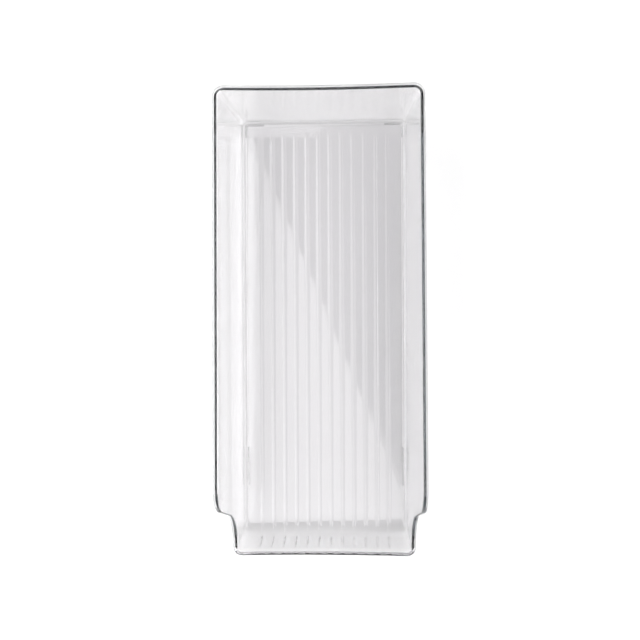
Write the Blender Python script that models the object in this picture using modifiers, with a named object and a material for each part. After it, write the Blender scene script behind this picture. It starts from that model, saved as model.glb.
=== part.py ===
"""Clear moulded drawer bin for a fridge shelf.

High side walls sweep down to a low front lip, the ribbed floor turns up into the front wall, a bead
stiffens the whole rim, and four clear strips in shallow pockets under the floor are the feet.

Metres, +Z up. The lip faces -Y, the bin is symmetric about X = 0, and the feet stand on Z = 0.
"""

import math

import bmesh
import bpy
from mathutils import Vector

# Outside of the bin, over the rim bead, which widens to the front
BIN_LENGTH = 0.345
REAR_WIDTH = 0.149
FRONT_WIDTH = 0.1515
BIN_HEIGHT = 0.100
LIP_HEIGHT = 0.0355

# Outside of the moulding at the floor, the same from end to end
FLOOR_WIDTH = 0.1308

# Thickness of the moulding
WALL_THICKNESS = 0.0022
FLOOR_THICKNESS = 0.0024

# How far the foot of each cross wall lies inside its top, so that the moulding leaves its tool
REAR_LEAN = 0.0057
FRONT_LEAN = 0.011

# How far the two cross walls draw in at their middle, at the rim
REAR_DRAW_IN = 0.0009
FRONT_DRAW_IN = 0.0007

# Corners in plan, on the outside of the wall
REAR_CORNER_RADIUS = 0.0068
LIP_CORNER_RADIUS = 0.0058
FLOOR_CORNER_RADIUS = 0.0062
LEAST_CORNER_RADIUS = 0.001

# Fillets where the floor turns up into the walls
SIDE_FILLET_RADIUS = 0.005
FRONT_FILLET_RADIUS = 0.012
UNDERSIDE_FILLET_RADIUS = 0.004

# Rim bead
BEAD_PROJECTION = 0.0011
BEAD_DEPTH = 0.0036
BEAD_CROWN = 0.0013

# Sweep of the side walls down to the lip, seen from the side
SHOULDER_RADIUS = 0.021
SWEEP_RADIUS = 0.0292
FLANK_ANGLE = math.radians(75)

# Ribs along the floor and up the front wall
RIB_PITCH = 0.00906
RIB_WIDTH = 0.0034
RIB_HEIGHT = 0.0006
RIB_ROOT = 0.0006
RIB_EDGE_GAP = 0.0045
RIB_REAR_GAP = 0.004
RIB_TAPER = 0.006
RIB_TOP_GAP = 0.003
RIB_END_SHARE = 0.25

# Foot strips and the pockets that they sit in
FOOT_DROP = 0.0015
FOOT_SEAT = 0.0008
FOOT_WIDTH = 0.0018
FOOT_GAP = 0.0003
FOOT_EDGE_ROUND = 0.0003
SIDE_FOOT_INSET = 0.004
SIDE_FOOT_LENGTH = 0.0303
SIDE_FOOT_SETBACK = 0.0487
CORNER_FOOT_INSET = 0.0034
CORNER_FOOT_ACROSS = 0.0153
CORNER_FOOT_ALONG = 0.0107
CUT_OVERRUN = 0.002

# Points nearer than this are one, and edges that turn more than this stay sharp
MERGE_GAP = 0.00001
SHARP_ANGLE = math.radians(35)

# Facets
CORNER_STEPS = 6
FILLET_STEPS = 4
UNDERSIDE_STEPS = 3
CROWN_STEPS = 5
CROSS_STEPS = 4
SIDE_STEPS = 2
SHOULDER_STEPS = 6
SWEEP_STEPS = 7
RIB_SECTION_STEPS = 6

# Places that follow from the sizes above
UNDERSIDE = FOOT_DROP
REAR_TOP_Y = BIN_LENGTH / 2 - BEAD_PROJECTION
REAR_BASE_Y = REAR_TOP_Y - REAR_LEAN
FRONT_TOP_Y = BEAD_PROJECTION - BIN_LENGTH / 2
FRONT_BASE_Y = FRONT_TOP_Y + FRONT_LEAN


def side_lean(y):
    """How far the foot of the side wall lies inside its top at a place along the bin."""
    forward_share = (BIN_LENGTH / 2 - y) / BIN_LENGTH
    rim_width = REAR_WIDTH + (FRONT_WIDTH - REAR_WIDTH) * forward_share
    return (rim_width - FLOOR_WIDTH) / 2 - BEAD_PROJECTION


def half_width(y, z):
    """Outside of the side wall at a place along the bin and a height."""
    rise_share = (z - UNDERSIDE) / (BIN_HEIGHT - UNDERSIDE)
    return FLOOR_WIDTH / 2 + side_lean(y) * rise_share


def plan_direction(angle):
    return Vector((math.cos(angle), math.sin(angle), 0))


def sweep_points():
    """(y, z) from the level side rim down to the lip: an arc, a steep flank, and a wider arc."""
    turn_height = 1 - math.cos(FLANK_ANGLE)
    drop = BIN_HEIGHT - LIP_HEIGHT
    radii = SHOULDER_RADIUS + SWEEP_RADIUS
    fit_share = min(1, drop / (radii * turn_height))
    shoulder, sweep = SHOULDER_RADIUS * fit_share, SWEEP_RADIUS * fit_share
    flank = (drop - (shoulder + sweep) * turn_height) / math.sin(FLANK_ANGLE)
    end_y = FRONT_TOP_Y + LIP_CORNER_RADIUS
    start_y = end_y + (shoulder + sweep) * math.sin(FLANK_ANGLE) + flank * math.cos(FLANK_ANGLE)
    points = []
    for step in range(SHOULDER_STEPS + 1):
        angle = FLANK_ANGLE * step / SHOULDER_STEPS
        y = start_y - shoulder * math.sin(angle)
        points.append((y, BIN_HEIGHT - shoulder * (1 - math.cos(angle))))
    for step in range(SWEEP_STEPS + 1):
        angle = FLANK_ANGLE * (1 - step / SWEEP_STEPS)
        y = end_y + sweep * math.sin(angle)
        points.append((y, LIP_HEIGHT + sweep * (1 - math.cos(angle))))
    return points


def fillet_offsets(lean, radius, steps, inside):
    """(outward, upward) along a floor fillet, from the outside corner of the wall and underside."""
    turn = math.pi / 2 - lean
    outward, upward = 0, 0
    if inside:
        outward = FLOOR_THICKNESS * math.tan(lean) - WALL_THICKNESS / math.cos(lean)
        upward = FLOOR_THICKNESS
    start = outward - radius * math.tan(turn / 2)
    angles = [turn * step / steps for step in range(steps + 1)]
    return [(start + radius * math.sin(a), upward + radius * (1 - math.cos(a))) for a in angles]


def floor_rings(inside):
    """Rounded rectangles round the floor, from the flat outward, each by its offsets at three walls."""
    steps = FILLET_STEPS if inside else UNDERSIDE_STEPS
    side_angle = math.atan2(side_lean(0), BIN_HEIGHT - UNDERSIDE)
    rear_angle = math.atan2(REAR_LEAN, BIN_HEIGHT - UNDERSIDE)
    front_angle = math.atan2(FRONT_LEAN, LIP_HEIGHT - UNDERSIDE)
    side_radius = SIDE_FILLET_RADIUS if inside else UNDERSIDE_FILLET_RADIUS
    front_radius = FRONT_FILLET_RADIUS + (0 if inside else WALL_THICKNESS)
    side = fillet_offsets(side_angle, side_radius, steps, inside)
    rear = fillet_offsets(rear_angle, side_radius, steps, inside)
    front = fillet_offsets(front_angle, front_radius, steps, inside)
    return [
        {"side": s, "rear": r, "front": f, "radius": max(FLOOR_CORNER_RADIUS + s[0], LEAST_CORNER_RADIUS)}
        for s, r, f in zip(side, rear, front)
    ]


def corner_arc(side_x, wall_y, radius, angle):
    """A point on a corner's arc in plan, in the corner that the side and a cross wall make."""
    centre_y = wall_y - math.copysign(radius, wall_y)
    return side_x - radius + radius * math.cos(angle), centre_y + radius * math.sin(angle)


def on_ring(ring, zone, share):
    """Point of a floor ring; share runs from the rear middle, or a zone's rear end, forward."""
    (side_out, side_up), (rear_out, rear_up), (front_out, front_up) = (
        ring["side"], ring["rear"], ring["front"])
    radius = ring["radius"]
    rear_y, front_y = REAR_BASE_Y + rear_out, FRONT_BASE_Y - front_out
    rear_x = half_width(rear_y - radius, UNDERSIDE) + side_out
    front_x = half_width(front_y + radius, UNDERSIDE) + side_out
    if zone == "rear wall":
        x, y, up = (rear_x - radius) * share, rear_y, rear_up
    elif zone == "rear corner":
        x, y = corner_arc(rear_x, rear_y, radius, math.pi / 2 * (1 - share))
        up = rear_up + (side_up - rear_up) * share
    elif zone == "side wall":
        y = rear_y - radius + (front_y - rear_y + 2 * radius) * share
        x, up = half_width(y, UNDERSIDE) + side_out, side_up
    elif zone == "front corner":
        x, y = corner_arc(front_x, front_y, radius, -math.pi / 2 * share)
        up = side_up + (front_up - side_up) * share
    else:
        x, y, up = (front_x - radius) * (1 - share), front_y, front_up
    return Vector((x, y, UNDERSIDE + up))


def outward_direction(zone, share):
    turned_share = {"rear wall": 1, "rear corner": 1 - share, "side wall": 0,
                    "front corner": -share, "front wall": -1}[zone]
    return plan_direction(math.pi / 2 * turned_share)


def top_at(zone, share):
    """Outside of the wall at the height of the rim, except along the side wall."""
    at_rear = zone.startswith("rear")
    z, radius = (BIN_HEIGHT, REAR_CORNER_RADIUS) if at_rear else (LIP_HEIGHT, LIP_CORNER_RADIUS)
    wall_y = REAR_TOP_Y if at_rear else FRONT_TOP_Y
    side_x = half_width(wall_y - math.copysign(radius, wall_y), z)
    if zone.endswith("corner"):
        angle = math.pi / 2 * (1 - share) if at_rear else -math.pi / 2 * share
        return Vector((*corner_arc(side_x, wall_y, radius, angle), z))
    across_share = share if at_rear else 1 - share
    draw_in = (REAR_DRAW_IN if at_rear else FRONT_DRAW_IN) * (1 - across_share**2)
    return Vector(((side_x - radius) * across_share, wall_y - math.copysign(draw_in, wall_y), z))


def shares(steps, first=1):
    return [step / steps for step in range(first, steps + 1)]


def side_tops():
    """(share, top) of each station along the side wall, from the rear corner to the end of the sweep."""
    sweep = sweep_points()
    rear_y = REAR_TOP_Y - REAR_CORNER_RADIUS
    level_y = [rear_y + (sweep[0][0] - rear_y) * share for share in shares(SIDE_STEPS)]
    rim = [(y, BIN_HEIGHT) for y in level_y[:-1]] + sweep
    for y, z in rim:
        yield (rear_y - y) / (rear_y - sweep[-1][0]), Vector((half_width(y, z), y, z))


def half_rim():
    """Stations of the right half, from the middle of the rear wall to the middle of the lip."""
    found = []
    for zone, steps, first in (("rear wall", CROSS_STEPS, 0), ("rear corner", CORNER_STEPS, 1)):
        found += [(zone, share, top_at(zone, share)) for share in shares(steps, first)]
    found += [("side wall", share, top) for share, top in side_tops()]
    for zone, steps in (("front corner", CORNER_STEPS), ("front wall", CROSS_STEPS)):
        found += [(zone, share, top_at(zone, share)) for share in shares(steps)]
    return found


def rim_directions(stations):
    """Unit direction of the rim at each station, level across the plane of symmetry at both ends."""
    tops = [top for _, _, top in stations]
    steps = [(after - before).normalized() for before, after in zip(tops, tops[1:])]
    between = [(before + after).normalized() for before, after in zip(steps, steps[1:])]
    return [Vector((1, 0, 0)), *between, Vector((-1, 0, 0))]


def bead_points(top, facing, rising):
    """Over the bead, from the inside of the wall below it to the outside, in the rim's own square."""

    def at_rim(outward, upward):
        return top + facing * outward + rising * upward

    half_bead = (WALL_THICKNESS + BEAD_PROJECTION) / 2
    points = [at_rim(-WALL_THICKNESS, -BEAD_DEPTH)]
    for share in shares(CROWN_STEPS, 0):
        angle = math.pi * share
        outward = BEAD_PROJECTION - half_bead - half_bead * math.cos(angle)
        points.append(at_rim(outward, BEAD_CROWN * (math.sin(angle) - 1)))
    points.append(at_rim(BEAD_PROJECTION, BEAD_PROJECTION - BEAD_DEPTH))
    points.append(at_rim(0, -BEAD_DEPTH))
    return points


def wall_facing(zone, share, top):
    """Outward normal of the wall at a station, tipped down by the wall's lean."""
    edge = {"side": (0, 0), "rear": (0, 0), "front": (0, 0), "radius": FLOOR_CORNER_RADIUS}
    rise = top - on_ring(edge, zone, share)
    out = outward_direction(zone, share)
    lean = math.atan2(rise.dot(out), rise.z)
    return out * math.cos(lean) - Vector((0, 0, math.sin(lean)))


def make_shell(parts):
    """Half of the moulding as a loft of its wall sections, closed by the floor and mirrored."""
    stations = half_rim()
    inside, outside = floor_rings(True), floor_rings(False)
    mesh = bmesh.new()
    rows = []
    for (zone, share, top), along in zip(stations, rim_directions(stations)):
        facing = wall_facing(zone, share, top)
        points = [on_ring(ring, zone, share) for ring in inside]
        points += bead_points(top, facing, along.cross(facing).normalized())
        points += [on_ring(ring, zone, share) for ring in reversed(outside)]
        rows.append([mesh.verts.new(point) for point in points])
    for vertex in rows[0] + rows[-1]:
        vertex.co.x = 0
    for row, following in zip(rows, rows[1:]):
        for low in range(len(row) - 1):
            mesh.faces.new((row[low], following[low], following[low + 1], row[low + 1]))
    mesh.faces.new([row[0] for row in reversed(rows)])
    mesh.faces.new([row[-1] for row in rows])
    bmesh.ops.recalc_face_normals(mesh, faces=mesh.faces)
    shell = add_mesh_object("bin_shell", mesh, parts)
    mirror = shell.modifiers.new("Other half", "MIRROR")
    mirror.use_clip = True
    mirror.merge_threshold = MERGE_GAP
    return shell


def add_mesh_object(name, mesh, collection):
    data = bpy.data.meshes.new(name)
    mesh.to_mesh(data)
    mesh.free()
    data.shade_smooth()
    data.set_sharp_from_angle(angle=SHARP_ANGLE)
    thing = bpy.data.objects.new(name, data)
    collection.objects.link(thing)
    return thing


def add_curve_object(name, collection, dimensions):
    data = bpy.data.curves.new(name, "CURVE")
    data.dimensions = dimensions
    thing = bpy.data.objects.new(name, data)
    collection.objects.link(thing)
    return thing


def add_spline(thing, points, closed, sizes=None):
    spline = thing.data.splines.new("POLY")
    spline.points.add(len(points) - 1)
    for number, point in enumerate(points):
        spline.points[number].co = (*point, 1)
        if sizes:
            spline.points[number].radius = sizes[number]
    spline.use_cyclic_u = closed


def as_mesh(thing):
    """The curve as a mesh object of the same name, with its caps welded."""
    name, collection = thing.name, thing.users_collection[0]
    bpy.context.view_layer.update()
    evaluated = thing.evaluated_get(bpy.context.evaluated_depsgraph_get())
    data = bpy.data.meshes.new_from_object(evaluated)
    place = thing.matrix_world.copy()
    bpy.data.objects.remove(thing)
    mesh = bmesh.new()
    mesh.from_mesh(data)
    bmesh.ops.remove_doubles(mesh, verts=mesh.verts, dist=MERGE_GAP)
    bmesh.ops.recalc_face_normals(mesh, faces=mesh.faces)
    mesh.to_mesh(data)
    mesh.free()
    solid = bpy.data.objects.new(name, data)
    solid.matrix_world = place
    collection.objects.link(solid)
    return solid


def hide_helper(thing):
    thing.hide_render = True
    thing.display_type = "WIRE"


def rib_places():
    """X of each rib: as many as the flat of the floor holds, evenly about the middle."""
    flat = on_ring(floor_rings(True)[0], "side wall", 0)
    count = 1 + math.floor(2 * (flat.x - RIB_EDGE_GAP) / RIB_PITCH)
    return [RIB_PITCH * (number - (count - 1) / 2) for number in range(count)]


def inside_of_lip(x):
    """Inside of the front wall below the bead at x, square to the wall."""
    corner_x = top_at("front wall", 0).x
    share = 1 - abs(x) / corner_x
    top = top_at("front wall", share)
    facing = wall_facing("front wall", share, top)
    below = bead_points(top, facing, Vector((-1, 0, 0)).cross(facing))[0]
    return Vector((x, below.y, below.z))


def rib_path(x):
    """Points along the skin under one rib and the rib's size at each, thin at both ends."""
    rings = floor_rings(True)
    rear_y = on_ring(rings[0], "rear wall", 0).y - RIB_REAR_GAP
    floor_z = UNDERSIDE + FLOOR_THICKNESS
    points = [Vector((x, rear_y, floor_z)), Vector((x, rear_y - RIB_TAPER, floor_z))]
    for ring in rings:
        place = on_ring(ring, "front wall", 1)
        points.append(Vector((x, place.y, place.z)))
    foot, top = points[-1], inside_of_lip(x)
    end = top + (foot - top).normalized() * RIB_TOP_GAP
    points += [end + (foot - end).normalized() * RIB_TAPER, end]
    sizes = [RIB_END_SHARE] + [1] * (len(points) - 2) + [RIB_END_SHARE]
    return points, sizes


def make_ribs(cutters):
    """All ribs as one mesh: a domed section, rooted in the skin, led along the floor and the wall."""
    section = add_curve_object("rib_section", cutters, "2D")
    height = RIB_HEIGHT + RIB_ROOT
    half_base = RIB_WIDTH / 2 / math.sqrt(1 - (RIB_ROOT / height) ** 2)
    dome = []
    for step in range(RIB_SECTION_STEPS + 1):
        angle = math.pi * step / RIB_SECTION_STEPS
        dome.append((half_base * math.cos(angle), height * math.sin(angle) - RIB_ROOT, 0))
    add_spline(section, dome, True)
    hide_helper(section)
    ribs = add_curve_object("ribs", cutters, "3D")
    ribs.data.bevel_mode = "OBJECT"
    ribs.data.bevel_object = section
    ribs.data.use_fill_caps = True
    ribs.data.twist_mode = "Z_UP"
    for x in rib_places():
        points, sizes = rib_path(x)
        add_spline(ribs, points, False, sizes)
    ribs = as_mesh(ribs)
    hide_helper(ribs)
    return ribs


def side_foot_outline():
    """Bar under the right side, near the front end of the high wall."""
    front = SIDE_FOOT_SETBACK - BIN_LENGTH / 2
    x = FLOOR_WIDTH / 2 - SIDE_FOOT_INSET
    inner, outer, rear = x - FOOT_WIDTH / 2, x + FOOT_WIDTH / 2, front + SIDE_FOOT_LENGTH
    return [(inner, front), (outer, front), (outer, rear), (inner, rear)]


def corner_foot_outline():
    """L under the rear right corner, along the rear and the side of the floor."""
    outer_x = FLOOR_WIDTH / 2 - CORNER_FOOT_INSET + FOOT_WIDTH / 2
    outer_y = REAR_BASE_Y - CORNER_FOOT_INSET + FOOT_WIDTH / 2
    inner_x, inner_y = outer_x - FOOT_WIDTH, outer_y - FOOT_WIDTH
    end_x, end_y = outer_x - CORNER_FOOT_ACROSS, outer_y - CORNER_FOOT_ALONG
    return [(end_x, inner_y), (inner_x, inner_y), (inner_x, end_y),
            (outer_x, end_y), (outer_x, outer_y), (end_x, outer_y)]


def outline_solid(name, outline, bottom, top, grow, side, collection):
    """Flat outline made a solid between two heights, on the right (side 1) or the left (-1)."""
    thing = add_curve_object(name, collection, "2D")
    thing.data.fill_mode = "BOTH"
    thing.data.extrude = (top - bottom) / 2
    corners = [Vector((side * x, y, 0)) for x, y in outline]
    if side < 0:
        corners.reverse()
    add_spline(thing, [*grown(corners, grow)], True)
    thing.location.z = (top + bottom) / 2
    return as_mesh(thing)


def grown(corners, distance):
    """An outline of square corners, listed anticlockwise, moved out by a distance on every side."""
    for number, here in enumerate(corners):
        arriving = (here - corners[number - 1]).normalized()
        leaving = (corners[(number + 1) % len(corners)] - here).normalized()
        yield here + (out_of(arriving) + out_of(leaving)) * distance


def out_of(direction):
    return Vector((direction.y, -direction.x, 0))


def make_foot(name, outline, side, parts):
    """One strip, pressed into its pocket and standing out below the floor."""
    foot = outline_solid(name, outline, 0, UNDERSIDE + FOOT_SEAT, 0, side, parts)
    rounding = foot.modifiers.new("Moulded edges", "BEVEL")
    rounding.width = FOOT_EDGE_ROUND
    rounding.segments = 1
    rounding.limit_method = "ANGLE"
    return foot


def make_pocket(name, outline, side, cutters):
    """Cutter for a foot's pocket, open below the floor."""
    top = UNDERSIDE + FOOT_SEAT + FOOT_GAP
    cutter = outline_solid(name, outline, -CUT_OVERRUN, top, FOOT_GAP, side, cutters)
    hide_helper(cutter)
    return cutter


def change_shell(shell, name, operation, other):
    step = shell.modifiers.new(name, "BOOLEAN")
    step.operation = operation
    step.solver = "EXACT"
    step.object = other


def clear_plastic():
    """Water-clear hard moulding plastic with a polished tool finish."""
    material = bpy.data.materials.new("clear_plastic")
    material.use_nodes = True
    shader = material.node_tree.nodes["Principled BSDF"]
    shader.inputs["Base Color"].default_value = (0.93, 0.94, 0.95, 1)
    shader.inputs["Roughness"].default_value = 0.04
    shader.inputs["Metallic"].default_value = 0
    shader.inputs["IOR"].default_value = 1.57
    shader.inputs["Transmission Weight"].default_value = 1
    return material


def clear_soft_plastic():
    """Clear, slightly hazy soft plastic of the foot strips."""
    material = bpy.data.materials.new("clear_soft_plastic")
    material.use_nodes = True
    shader = material.node_tree.nodes["Principled BSDF"]
    shader.inputs["Base Color"].default_value = (0.86, 0.87, 0.88, 1)
    shader.inputs["Roughness"].default_value = 0.25
    shader.inputs["Metallic"].default_value = 0
    shader.inputs["IOR"].default_value = 1.48
    shader.inputs["Transmission Weight"].default_value = 0.9
    return material


def new_collection(name):
    collection = bpy.data.collections.new(name)
    bpy.context.scene.collection.children.link(collection)
    return collection


def main():
    for thing in list(bpy.data.objects):
        bpy.data.objects.remove(thing)
    parts = new_collection("fridge_drawer_bin")
    cutters = new_collection("cutters")
    shell = make_shell(parts)
    shell.data.materials.append(clear_plastic())
    soft = clear_soft_plastic()
    feet = (("front", side_foot_outline()), ("rear", corner_foot_outline()))
    for side, hand in ((1, "right"), (-1, "left")):
        for end, outline in feet:
            name = f"{end}_{hand}_foot"
            make_foot(name, outline, side, parts).data.materials.append(soft)
            change_shell(shell, name, "DIFFERENCE", make_pocket(f"{name}_pocket", outline, side, cutters))
    change_shell(shell, "Ribs", "UNION", make_ribs(cutters))


main()
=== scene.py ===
"""Looks of a clear moulded drawer bin for a fridge shelf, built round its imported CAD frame.

Metres, +Z up. The low lip faces -Y, and the feet stand on Z = 0.
"""

import math

import bmesh
import bpy
from mathutils import Matrix, Vector


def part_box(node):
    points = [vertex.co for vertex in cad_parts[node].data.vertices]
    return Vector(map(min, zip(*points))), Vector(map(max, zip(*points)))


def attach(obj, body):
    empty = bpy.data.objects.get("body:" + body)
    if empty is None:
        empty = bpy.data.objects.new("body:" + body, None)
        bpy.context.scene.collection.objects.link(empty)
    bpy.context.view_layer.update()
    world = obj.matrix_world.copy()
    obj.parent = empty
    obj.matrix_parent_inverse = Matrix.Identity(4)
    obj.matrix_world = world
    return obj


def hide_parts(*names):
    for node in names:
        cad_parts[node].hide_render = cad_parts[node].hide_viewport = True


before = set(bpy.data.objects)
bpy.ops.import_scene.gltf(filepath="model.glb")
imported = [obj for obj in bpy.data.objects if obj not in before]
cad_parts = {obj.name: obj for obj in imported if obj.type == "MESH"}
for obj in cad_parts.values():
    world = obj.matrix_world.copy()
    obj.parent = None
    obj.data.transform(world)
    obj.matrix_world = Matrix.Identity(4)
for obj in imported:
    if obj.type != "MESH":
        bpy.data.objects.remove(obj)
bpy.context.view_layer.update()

# Camera: it looks straight down from a little right of the bin's middle. Its place and tilt come
# from the way the rim, the lip and the floor shift against each other in the photograph.
CAMERA_PLACE = (0.03232, 0.01129, 0.8100)
CAMERA_TILT = [math.radians(angle) for angle in (-0.293, 2.556, -0.302)]
CAMERA_LENS_MM = 57.375
SENSOR_WIDTH_MM = 36

camera = bpy.data.objects.new("camera", bpy.data.cameras.new("camera"))
bpy.context.scene.collection.objects.link(camera)
camera.data.lens = CAMERA_LENS_MM
camera.data.sensor_width = SENSOR_WIDTH_MM
camera.location = CAMERA_PLACE
camera.rotation_euler = CAMERA_TILT
bpy.context.scene.camera = camera

# Bin shell: one injection moulding in water-clear polystyrene, with leaning walls, a bead round the
# rim that follows the side walls' sweep, and soft ribs along the floor and up the front wall.
BIN_LENGTH = 0.345
REAR_WIDTH = 0.149
FRONT_WIDTH = 0.1515
BIN_HEIGHT = 0.100
LIP_HEIGHT = 0.0355
FLOOR_WIDTH = 0.1308
WALL_THICKNESS = 0.0022
FLOOR_THICKNESS = 0.0024
REAR_LEAN = 0.0057
FRONT_LEAN = 0.011
REAR_DRAW_IN = 0.0009
FRONT_DRAW_IN = 0.0007
REAR_CORNER_RADIUS = 0.0068
LIP_CORNER_RADIUS = 0.0058
FLOOR_CORNER_RADIUS = 0.0062
LEAST_CORNER_RADIUS = 0.001
SIDE_FILLET_RADIUS = 0.003
FRONT_FILLET_RADIUS = 0.012
UNDERSIDE_FILLET_RADIUS = 0.0052
BEAD_PROJECTION = 0.0011
BEAD_DEPTH = 0.0036
BEAD_CROWN = 0.0013
SIDE_BEAD_CROWN = 0.0008
LIP_RUN_OUT = 0.0045
SHOULDER_RADIUS = 0.021
SWEEP_RADIUS = 0.0292
FLANK_ANGLE = math.radians(75)
RIB_PITCH = 0.00906
RIB_WIDTH = 0.0042
RIB_HEIGHT = 0.00016
WALL_RIB_WIDTH = 0.0024
WALL_RIB_HEIGHT = 0.0007
RIB_EDGE_GAP = 0.0065
RIB_REAR_GAP = 0.004
RIB_TAPER = 0.006
RIB_TOP_GAP = 0.003
COLUMN_PITCH = 0.0004
ROW_PITCH = 0.001
MERGE_GAP = 0.00001
CORNER_STEPS = 14
FILLET_STEPS = 12
UNDERSIDE_STEPS = 8
CROWN_STEPS = 14
WALL_STEPS = 8
LEVEL_STEPS = 14
SHOULDER_STEPS = 16
FLANK_STEPS = 6
SWEEP_STEPS = 18
SHARP_ANGLE = math.radians(38)
CLEAR_STYRENE_HEX = "E9E8E9"
STYRENE_IOR = 1.57
LIGHT_LOSS_PER_METRE = (8.6, 8.0, 7.6)
MM_PER_METRE = 1000
FLOW_WAVE_MM = 45
FLOW_WAVE_STRENGTH = 0.14
FLOW_WAVE_DEPTH = 0.0002
HAZE_PATCH_MM = 12
HAZE_PATCH_RANGE = (0.35, 0.7)
POLISHED_ROUGHNESS = 0.015
HAZY_ROUGHNESS = 0.04

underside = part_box("bin_shell")[0].z
rear_top_y = BIN_LENGTH / 2 - BEAD_PROJECTION
rear_base_y = rear_top_y - REAR_LEAN
front_top_y = BEAD_PROJECTION - BIN_LENGTH / 2
front_base_y = front_top_y + FRONT_LEAN


def side_lean(y):
    """How far the foot of the side wall lies inside its top at a place along the bin."""
    forward_share = (BIN_LENGTH / 2 - y) / BIN_LENGTH
    rim_width = REAR_WIDTH + (FRONT_WIDTH - REAR_WIDTH) * forward_share
    return (rim_width - FLOOR_WIDTH) / 2 - BEAD_PROJECTION


def half_width(y, z):
    """Outside of the side wall at a place along the bin and a height."""
    rise_share = (z - underside) / (BIN_HEIGHT - underside)
    return FLOOR_WIDTH / 2 + side_lean(y) * rise_share


def shares(steps, first=1):
    return [step / steps for step in range(first, steps + 1)]


def sweep_points():
    """(y, z) of the rim from the level side wall down to the lip: arc, steep flank, wider arc."""
    turn_height = 1 - math.cos(FLANK_ANGLE)
    radii = SHOULDER_RADIUS + SWEEP_RADIUS
    flank = (BIN_HEIGHT - LIP_HEIGHT - radii * turn_height) / math.sin(FLANK_ANGLE)
    end_y = front_top_y + LIP_CORNER_RADIUS
    start_y = end_y + radii * math.sin(FLANK_ANGLE) + flank * math.cos(FLANK_ANGLE)
    points = []
    for share in shares(SHOULDER_STEPS, 0):
        angle = FLANK_ANGLE * share
        points.append((start_y - SHOULDER_RADIUS * math.sin(angle),
                       BIN_HEIGHT - SHOULDER_RADIUS * (1 - math.cos(angle))))
    top_y, top_z = points[-1]
    for share in shares(FLANK_STEPS):
        points.append((top_y - flank * share * math.cos(FLANK_ANGLE),
                       top_z - flank * share * math.sin(FLANK_ANGLE)))
    for share in shares(SWEEP_STEPS):
        angle = FLANK_ANGLE * (1 - share)
        points.append((end_y + SWEEP_RADIUS * math.sin(angle),
                       LIP_HEIGHT + SWEEP_RADIUS * (1 - math.cos(angle))))
    return points


def fillet_offsets(lean, radius, steps, inside):
    """(outward, upward) along a floor fillet, from the outside corner of the wall and underside."""
    turn = math.pi / 2 - lean
    outward, upward = 0, 0
    if inside:
        outward = FLOOR_THICKNESS * math.tan(lean) - WALL_THICKNESS / math.cos(lean)
        upward = FLOOR_THICKNESS
    start = outward - radius * math.tan(turn / 2)
    angles = [turn * share for share in shares(steps, 0)]
    return [(start + radius * math.sin(a), upward + radius * (1 - math.cos(a))) for a in angles]


def floor_rings(inside):
    """Rounded rectangles round the floor, from the flat outward, each by its offsets at three walls."""
    steps = FILLET_STEPS if inside else UNDERSIDE_STEPS
    side_angle = math.atan2(side_lean(0), BIN_HEIGHT - underside)
    rear_angle = math.atan2(REAR_LEAN, BIN_HEIGHT - underside)
    front_angle = math.atan2(FRONT_LEAN, LIP_HEIGHT - underside)
    side_radius = SIDE_FILLET_RADIUS if inside else UNDERSIDE_FILLET_RADIUS
    front_radius = FRONT_FILLET_RADIUS + (0 if inside else WALL_THICKNESS)
    side = fillet_offsets(side_angle, side_radius, steps, inside)
    rear = fillet_offsets(rear_angle, side_radius, steps, inside)
    front = fillet_offsets(front_angle, front_radius, steps, inside)
    radii = [max(FLOOR_CORNER_RADIUS + outward, LEAST_CORNER_RADIUS) for outward, _ in side]
    return [{"side": s, "rear": r, "front": f, "radius": radius}
            for s, r, f, radius in zip(side, rear, front, radii)]


def corner_arc(side_x, wall_y, radius, angle):
    centre_y = wall_y - math.copysign(radius, wall_y)
    return side_x - radius + radius * math.cos(angle), centre_y + radius * math.sin(angle)


def on_ring(ring, zone, share):
    """Point of a floor ring; share runs from the rear middle, or a zone's rear end, forward."""
    (side_out, side_up), (rear_out, rear_up) = ring["side"], ring["rear"]
    (front_out, front_up), radius = ring["front"], ring["radius"]
    rear_y, front_y = rear_base_y + rear_out, front_base_y - front_out
    rear_x = half_width(rear_y - radius, underside) + side_out
    front_x = half_width(front_y + radius, underside) + side_out
    if zone == "rear wall":
        x, y, up = (rear_x - radius) * share, rear_y, rear_up
    elif zone == "rear corner":
        x, y = corner_arc(rear_x, rear_y, radius, math.pi / 2 * (1 - share))
        up = rear_up + (side_up - rear_up) * share
    elif zone == "side wall":
        y = rear_y - radius + (front_y - rear_y + 2 * radius) * share
        x, up = half_width(y, underside) + side_out, side_up
    elif zone == "front corner":
        x, y = corner_arc(front_x, front_y, radius, -math.pi / 2 * share)
        up = side_up + (front_up - side_up) * share
    else:
        x, y, up = (front_x - radius) * (1 - share), front_y, front_up
    return Vector((x, y, underside + up))


def outward_direction(zone, share):
    turned_share = {"rear wall": 1, "rear corner": 1 - share, "side wall": 0,
                    "front corner": -share, "front wall": -1}[zone]
    angle = math.pi / 2 * turned_share
    return Vector((math.cos(angle), math.sin(angle), 0))


def top_at(zone, share):
    """Outside of the wall at the rim, except along the side wall."""
    at_rear = zone.startswith("rear")
    z, radius = (BIN_HEIGHT, REAR_CORNER_RADIUS) if at_rear else (LIP_HEIGHT, LIP_CORNER_RADIUS)
    wall_y = rear_top_y if at_rear else front_top_y
    side_x = half_width(wall_y - math.copysign(radius, wall_y), z)
    if zone.endswith("corner"):
        angle = math.pi / 2 * (1 - share) if at_rear else -math.pi / 2 * share
        return Vector((*corner_arc(side_x, wall_y, radius, angle), z))
    across_share = share if at_rear else 1 - share
    draw_in = (REAR_DRAW_IN if at_rear else FRONT_DRAW_IN) * (1 - across_share**2)
    return Vector(((side_x - radius) * across_share, wall_y - math.copysign(draw_in, wall_y), z))


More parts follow.
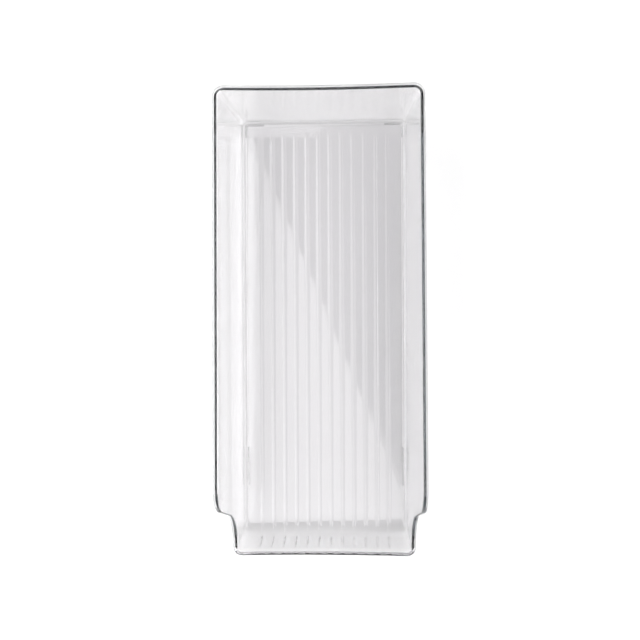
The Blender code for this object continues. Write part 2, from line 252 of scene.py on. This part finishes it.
def side_stations():
    """Close rows near the rear, where the ribs start, wider ones on the level, then the sweep."""
    sweep = sweep_points()
    rear_y = rear_top_y - REAR_CORNER_RADIUS
    near_count = round((RIB_REAR_GAP + RIB_TAPER) / ROW_PITCH)
    near = [rear_y - ROW_PITCH * number for number in range(1, near_count + 1)]
    level = [near[-1] + (sweep[0][0] - near[-1]) * share for share in shares(LEVEL_STEPS)]
    rim = [(y, BIN_HEIGHT) for y in near + level[:-1]] + sweep
    length = rear_y - sweep[-1][0]
    return [("side wall", (rear_y - y) / length, Vector((half_width(y, z), y, z))) for y, z in rim]


def half_rim(columns):
    """Stations of the right half, from the middle of the rear wall to the middle of the lip."""
    found = []
    for zone, steps, first in (("rear wall", columns, 0), ("rear corner", CORNER_STEPS, 1)):
        found += [(zone, share, top_at(zone, share)) for share in shares(steps, first)]
    found += side_stations()
    for zone, steps in (("front corner", CORNER_STEPS), ("front wall", columns)):
        found += [(zone, share, top_at(zone, share)) for share in shares(steps)]
    return found


def rim_directions(stations):
    tops = [top for _, _, top in stations]
    steps = [(after - before).normalized() for before, after in zip(tops, tops[1:])]
    inner_steps = [(before + after).normalized() for before, after in zip(steps, steps[1:])]
    return [Vector((1, 0, 0)), *inner_steps, Vector((-1, 0, 0))]


def wall_facing(zone, share, top):
    """Outward normal of the wall at a station, tipped down by the wall's lean."""
    edge = {"side": (0, 0), "rear": (0, 0), "front": (0, 0), "radius": FLOOR_CORNER_RADIUS}
    rise = top - on_ring(edge, zone, share)
    out = outward_direction(zone, share)
    lean = math.atan2(rise.dot(out), rise.z)
    return out * math.cos(lean) - Vector((0, 0, math.sin(lean)))


def bead_points(top, facing, rising, lip_share, side_share):
    """Over the bead, from inside the wall below it to the outside. It is flatter along the sides
    than at both ends. It has a flat underside, and along the lip it runs out into the wall instead."""
    half_bead = (WALL_THICKNESS + BEAD_PROJECTION) / 2
    crown = BEAD_CROWN + (SIDE_BEAD_CROWN - BEAD_CROWN) * side_share
    places = [(-WALL_THICKNESS, -BEAD_DEPTH)]
    for share in shares(CROWN_STEPS, 0):
        angle = math.pi * share
        outward = BEAD_PROJECTION - half_bead - half_bead * math.cos(angle)
        places.append((outward, crown * (math.sin(angle) - 1)))
    side_end = BEAD_DEPTH + (crown - BEAD_DEPTH) * lip_share
    run_out = BEAD_DEPTH + (LIP_RUN_OUT - BEAD_DEPTH) * lip_share
    places += [(BEAD_PROJECTION, -side_end), (0, -run_out)]
    return [top + facing * outward + rising * upward for outward, upward in places]


def eased(share):
    share = min(1, max(0, share))
    return share * share * (3 - 2 * share)


def rib_rise(x, rib_count, height, width):
    """Height of the ribs' soft waves above the skin at x."""
    number = min(rib_count - 1, max(0, round(x / RIB_PITCH + (rib_count - 1) / 2)))
    off = abs(x - RIB_PITCH * (number - (rib_count - 1) / 2))
    return height * math.cos(math.pi * off / width) ** 2 if off < width / 2 else 0


def between(low, high, steps):
    return [low.lerp(high, share) for share in shares(steps)[:-1]]


def raise_ribs_on_wall(points, rib_count):
    """Moves the inner points of a front wall section out from the skin. The ribs grow narrow and
    high as they climb, and fade below the bead."""
    along = [0]
    for before, after in zip(points, points[1:]):
        along.append(along[-1] + (after - before).length)
    raised = []
    for number, point in enumerate(points):
        step = points[min(number + 1, len(points) - 1)] - points[max(number - 1, 0)]
        inward = Vector((0, step.z, -step.y)).normalized()
        fade_share = eased((along[-1] - along[number] - RIB_TOP_GAP) / RIB_TAPER)
        climb_share = eased(along[number] / FRONT_FILLET_RADIUS)
        low = rib_rise(point.x, rib_count, RIB_HEIGHT, RIB_WIDTH)
        high = rib_rise(point.x, rib_count, WALL_RIB_HEIGHT, WALL_RIB_WIDTH)
        raised.append(point + inward * (low + (high - low) * climb_share) * fade_share)
    return raised


inner_rings, outer_rings = floor_rings(True), floor_rings(False)
flat_side = on_ring(inner_rings[0], "side wall", 0)
columns = round((flat_side.x - inner_rings[0]["radius"]) / COLUMN_PITCH)
rib_count = 1 + math.floor(2 * (flat_side.x - RIB_EDGE_GAP) / RIB_PITCH)
rib_start_y = on_ring(inner_rings[0], "rear wall", 0).y - RIB_REAR_GAP
stations = half_rim(columns)

mesh = bmesh.new()
rows = []
for (zone, share, top), along in zip(stations, rim_directions(stations)):
    facing = wall_facing(zone, share, top)
    lip_share = {"front wall": 1, "front corner": eased(share)}.get(zone, 0)
    side_share = {"rear wall": 0, "rear corner": eased(share)}.get(zone, 1 - lip_share)
    bead = bead_points(top, facing, along.cross(facing).normalized(), lip_share, side_share)
    inner = [on_ring(ring, zone, share) for ring in inner_rings]
    inner += between(inner[-1], bead[0], WALL_STEPS)
    if zone == "front wall":
        inner = raise_ribs_on_wall([*inner, bead[0]], rib_count)[:-1]
    outer = [on_ring(ring, zone, share) for ring in outer_rings][::-1]
    points = inner + bead + between(bead[-1], outer[0], WALL_STEPS) + outer
    rows.append([mesh.verts.new(point) for point in points])
for row, following in zip(rows, rows[1:]):
    for low in range(len(row) - 1):
        mesh.faces.new((row[low], following[low], following[low + 1], row[low + 1]))

corner_end = columns + CORNER_STEPS
floor_rows = len(stations) - 1 - 2 * corner_end
grid = []
for number in range(floor_rows + 1):
    edge = rows[corner_end + number][0].co
    fade_share = eased((rib_start_y - edge.y) / RIB_TAPER)
    reach = edge.x - inner_rings[0]["radius"]
    line = []
    for share in shares(columns, 0):
        x = reach * share
        rise = rib_rise(x, rib_count, RIB_HEIGHT, RIB_WIDTH) * fade_share
        line.append(mesh.verts.new((x, edge.y, edge.z + rise)))
    grid.append(line)
for line, following in zip(grid, grid[1:]):
    for number in range(columns):
        mesh.faces.new((line[number], line[number + 1], following[number + 1], following[number]))
first_front = corner_end + floor_rows + CORNER_STEPS
for number in range(columns):
    mesh.faces.new((rows[number][0], rows[number + 1][0], grid[0][number + 1], grid[0][number]))
    near, far = rows[first_front + columns - number][0], rows[first_front + columns - number - 1][0]
    mesh.faces.new((near, far, grid[-1][number + 1], grid[-1][number]))
for number in range(floor_rows):
    low, high = rows[corner_end + number][0], rows[corner_end + number + 1][0]
    mesh.faces.new((low, high, grid[number + 1][columns], grid[number][columns]))
for number in range(CORNER_STEPS):
    mesh.faces.new((rows[columns + number][0], rows[columns + number + 1][0], grid[0][columns]))
    start = corner_end + floor_rows + number
    mesh.faces.new((rows[start][0], rows[start + 1][0], grid[-1][columns]))

underside_edges = [mesh.edges.get((row[-1], following[-1])) for row, following in zip(rows, rows[1:])]
underside_edges.append(mesh.edges.new((rows[-1][-1], rows[0][-1])))
bmesh.ops.triangle_fill(mesh, edges=underside_edges, use_beauty=True)
for vertex in mesh.verts:
    if abs(vertex.co.x) < MERGE_GAP:
        vertex.co.x = 0
bmesh.ops.recalc_face_normals(mesh, faces=mesh.faces)
shell_data = bpy.data.meshes.new("clear_bin")
mesh.to_mesh(shell_data)
mesh.free()
shell_data.shade_smooth()
shell_data.set_sharp_from_angle(angle=SHARP_ANGLE)
shell = bpy.data.objects.new("clear_bin", shell_data)
bpy.context.scene.collection.objects.link(shell)
mirror = shell.modifiers.new("Other half", "MIRROR")
mirror.use_clip = True
mirror.merge_threshold = MERGE_GAP
flatten = shell.modifiers.new("Keep flats flat", "WEIGHTED_NORMAL")
flatten.keep_sharp = True


def from_hex(text):
    """sRGB hex colour as linear red, green, blue and full alpha."""
    levels = [int(text[at:at + 2], 16) / 255 for at in (0, 2, 4)]
    linear = [level / 12.92 if level <= 0.04045 else ((level + 0.055) / 1.055) ** 2.4 for level in levels]
    return (*linear, 1)


def add_node(owner, kind, inputs=None, links=()):
    """A node of a material or the world, with its inputs' values and links from (node, output)."""
    node = owner.node_tree.nodes.new(kind)
    for name, value in (inputs or {}).items():
        node.inputs[name].default_value = value
    for (source, output), name in links:
        owner.node_tree.links.new(source.outputs[output], node.inputs[name])
    return node


def clear_styrene():
    """Moulded in a polished tool: it bends light strongly, waves very slightly where the melt
    cooled, and its gloss is not quite even. It swallows a little light on the way, which shows
    only where light runs down the length of a wall, as the dark line along the rim."""
    material = bpy.data.materials.new("clear_polystyrene")
    material.use_nodes = True
    shader = material.node_tree.nodes["Principled BSDF"]
    for name, value in {"Base Color": from_hex(CLEAR_STYRENE_HEX), "IOR": STYRENE_IOR, "Metallic": 0,
                        "Transmission Weight": 1}.items():
        shader.inputs[name].default_value = value
    place = add_node(material, "ShaderNodeTexCoord")
    patches = add_node(material, "ShaderNodeTexNoise", {"Scale": MM_PER_METRE / HAZE_PATCH_MM, "Detail": 3},
                       [((place, "Object"), "Vector")])
    patch_low, patch_high = HAZE_PATCH_RANGE
    gloss = add_node(material, "ShaderNodeMapRange",
                     {"From Min": patch_low, "From Max": patch_high,
                      "To Min": POLISHED_ROUGHNESS, "To Max": HAZY_ROUGHNESS},
                     [((patches, "Fac"), "Value")])
    waves = add_node(material, "ShaderNodeTexNoise", {"Scale": MM_PER_METRE / FLOW_WAVE_MM, "Detail": 1},
                     [((place, "Object"), "Vector")])
    bump = add_node(material, "ShaderNodeBump", {"Strength": FLOW_WAVE_STRENGTH, "Distance": FLOW_WAVE_DEPTH},
                    [((waves, "Fac"), "Height")])
    # The node takes away its density times what its colour lacks of white, per metre.
    density = 2 * max(LIGHT_LOSS_PER_METRE)
    kept_colour = (*[1 - loss / density for loss in LIGHT_LOSS_PER_METRE], 1)
    depth_loss = add_node(material, "ShaderNodeVolumeAbsorption", {"Color": kept_colour, "Density": density})
    output = material.node_tree.nodes["Material Output"]
    material.node_tree.links.new(depth_loss.outputs["Volume"], output.inputs["Volume"])
    material.node_tree.links.new(gloss.outputs["Result"], shader.inputs["Roughness"])
    material.node_tree.links.new(bump.outputs["Normal"], shader.inputs["Normal"])
    return material


shell.data.materials.clear()
shell.data.materials.append(clear_styrene())
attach(shell, "root")
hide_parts("bin_shell")

# Foot strips: clear soft styrene rubber, matt so that the bin doesn't slide on a glass shelf, with
# its grain drawn coarser than it would be. They are taken to fill their pockets without any air, so
# only what stands out below the floor would be seen, and only that is drawn.
FOOT_WIDTH = 0.0018
FOOT_EDGE_ROUND = 0.0003
ROUNDING_SEGMENTS = 3
CONTACT_GAP = 0.00002
SOFT_CLEAR_HEX = "F4F4F4"
SOFT_CLEAR_IOR = 1.5
SOFT_CLEAR_ROUGHNESS = 0.22
SOFT_CLEAR_TRANSMISSION = 0.95
MATT_GRAIN_MM = 0.6
MATT_GRAIN_STRENGTH = 0.2
MATT_GRAIN_DEPTH = 0.00003


def clear_soft_rubber():
    material = bpy.data.materials.new("clear_soft_rubber")
    material.use_nodes = True
    shader = material.node_tree.nodes["Principled BSDF"]
    for name, value in {"Base Color": from_hex(SOFT_CLEAR_HEX), "IOR": SOFT_CLEAR_IOR, "Metallic": 0,
                        "Roughness": SOFT_CLEAR_ROUGHNESS,
                        "Transmission Weight": SOFT_CLEAR_TRANSMISSION}.items():
        shader.inputs[name].default_value = value
    place = add_node(material, "ShaderNodeTexCoord")
    grain = add_node(material, "ShaderNodeTexNoise", {"Scale": MM_PER_METRE / MATT_GRAIN_MM},
                     [((place, "Object"), "Vector")])
    bump = add_node(material, "ShaderNodeBump",
                    {"Strength": MATT_GRAIN_STRENGTH, "Distance": MATT_GRAIN_DEPTH},
                    [((grain, "Fac"), "Height")])
    material.node_tree.links.new(bump.outputs["Normal"], shader.inputs["Normal"])
    return material


def strip_outline(node, side):
    """Corners of a strip in plan: a bar, or an L with its corner outward and to the rear."""
    low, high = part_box(node)
    inner, outer = (low.x, high.x) if side > 0 else (high.x, low.x)
    if node.startswith("front"):
        return [(inner, low.y), (outer, low.y), (outer, high.y), (inner, high.y)]
    turn_x, turn_y = outer - side * FOOT_WIDTH, high.y - FOOT_WIDTH
    return [(turn_x, low.y), (outer, low.y), (outer, high.y),
            (inner, high.y), (inner, turn_y), (turn_x, turn_y)]


soft_rubber = clear_soft_rubber()
for node, side in (("front_left_foot", -1), ("front_right_foot", 1),
                   ("rear_left_foot", -1), ("rear_right_foot", 1)):
    mesh = bmesh.new()
    face = mesh.faces.new([mesh.verts.new((x, y, CONTACT_GAP)) for x, y in strip_outline(node, side)])
    raised = bmesh.ops.extrude_face_region(mesh, geom=[face])["geom"]
    for thing in raised:
        if isinstance(thing, bmesh.types.BMVert):
            thing.co.z = underside - CONTACT_GAP
    bmesh.ops.recalc_face_normals(mesh, faces=mesh.faces)
    strip_data = bpy.data.meshes.new(f"{node}_strip")
    mesh.to_mesh(strip_data)
    mesh.free()
    strip_data.materials.append(soft_rubber)
    strip = bpy.data.objects.new(f"{node}_strip", strip_data)
    bpy.context.scene.collection.objects.link(strip)
    rounding = strip.modifiers.new("Moulded edges", "BEVEL")
    rounding.width = FOOT_EDGE_ROUND
    rounding.segments = ROUNDING_SEGMENTS
    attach(strip, "root")
    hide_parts(node)

# Studio floor: a wide sheet of plain white paper.
PAPER_HEX = "FBFBFB"
PAPER_ROUGHNESS = 0.9
PAPER_SIDE = 3

bpy.ops.mesh.primitive_plane_add(size=PAPER_SIDE)
floor = bpy.context.object
floor.name = "studio_floor"
paper = bpy.data.materials.new("white_paper")
paper.use_nodes = True
paper_shader = paper.node_tree.nodes["Principled BSDF"]
paper_shader.inputs["Base Color"].default_value = from_hex(PAPER_HEX)
paper_shader.inputs["Roughness"].default_value = PAPER_ROUGHNESS
floor.data.materials.append(paper)

# Studio light: a room with a dim ceiling and a pale backdrop all round, a long soft box standing on
# the left, one high up on either side, and one overhead, whose long edge shows as the slanting
# reflection in the floor.
ROOM_HEX = "FFFFFF"
ROOM_LEVEL = 0.09
BACKDROP_LEVEL = 0.7
BACKDROP_TOP = math.sin(math.radians(18))
BOX_DISTANCE = 1.8
SIDE_BOX_LENGTH = 3.2
LEFT_BOX_WIDTH = 0.62
LEFT_BOX_RISE = math.radians(10.5)
LEFT_BOX_RADIANCE = 6.2
HIGH_BOX_WIDTH = 0.65
HIGH_BOX_RISE = math.radians(66)
HIGH_LEFT_RADIANCE = 1.7
HIGH_RIGHT_RADIANCE = 3.4
TOP_BOX_EDGE_REAR = Vector((-0.235, 0.439, 1.6))
TOP_BOX_EDGE_FRONT = Vector((0.104, -0.379, 1.6))
TOP_BOX_WIDTH = 1.2
TOP_BOX_LENGTH = 2.4
TOP_BOX_RADIANCE = 1.8

world = bpy.data.worlds.new("studio")
bpy.context.scene.world = world
world.use_nodes = True
background = world.node_tree.nodes["Background"]
background.inputs["Color"].default_value = from_hex(ROOM_HEX)
place = add_node(world, "ShaderNodeTexCoord")
direction = add_node(world, "ShaderNodeSeparateXYZ", {}, [((place, "Generated"), "Vector")])
backdrop = add_node(world, "ShaderNodeMapRange",
                    {"From Max": BACKDROP_TOP, "To Min": BACKDROP_LEVEL, "To Max": ROOM_LEVEL},
                    [((direction, "Z"), "Value")])
world.node_tree.links.new(backdrop.outputs["Result"], background.inputs["Strength"])


def soft_box(name, place, facing, along, length, width, radiance):
    """An evenly lit panel that faces one way, with its length along another."""
    panel = bpy.data.lights.new(name, "AREA")
    panel.shape = "RECTANGLE"
    panel.size = length
    panel.size_y = width
    panel.energy = radiance * math.pi * length * width
    lamp = bpy.data.objects.new(name, panel)
    lamp.matrix_world = Matrix((along, -facing.cross(along), -facing)).transposed().to_4x4()
    lamp.location = place
    bpy.context.scene.collection.objects.link(lamp)


for name, side, rise, width, radiance in (
        ("left_soft_box", -1, LEFT_BOX_RISE, LEFT_BOX_WIDTH, LEFT_BOX_RADIANCE),
        ("high_left_soft_box", -1, HIGH_BOX_RISE, HIGH_BOX_WIDTH, HIGH_LEFT_RADIANCE),
        ("high_right_soft_box", 1, HIGH_BOX_RISE, HIGH_BOX_WIDTH, HIGH_RIGHT_RADIANCE)):
    towards = Vector((side * math.cos(rise), 0, math.sin(rise)))
    soft_box(name, towards * BOX_DISTANCE, -towards, Vector((0, 1, 0)), SIDE_BOX_LENGTH, width, radiance)
top_edge = (TOP_BOX_EDGE_FRONT - TOP_BOX_EDGE_REAR).normalized()
top_middle = (TOP_BOX_EDGE_REAR + TOP_BOX_EDGE_FRONT) / 2
to_the_left = Vector((top_edge.y, -top_edge.x, 0)) * TOP_BOX_WIDTH / 2
soft_box("top_soft_box", top_middle + to_the_left, Vector((0, 0, -1)), top_edge,
         TOP_BOX_LENGTH, TOP_BOX_WIDTH, TOP_BOX_RADIANCE)

# Light in a clear wall is handed from face to face many times before it leaves, so its paths are
# long, and no blur is put on the light that reaches the paper through it: that would dim and soften
# the bright lines that its bends throw.
LONGEST_PATH = 32

light_paths = bpy.context.scene.cycles
light_paths.max_bounces = LONGEST_PATH
light_paths.glossy_bounces = LONGEST_PATH
light_paths.transmission_bounces = LONGEST_PATH
light_paths.blur_glossy = 0
bpy.context.scene.view_settings.view_transform = "Standard"
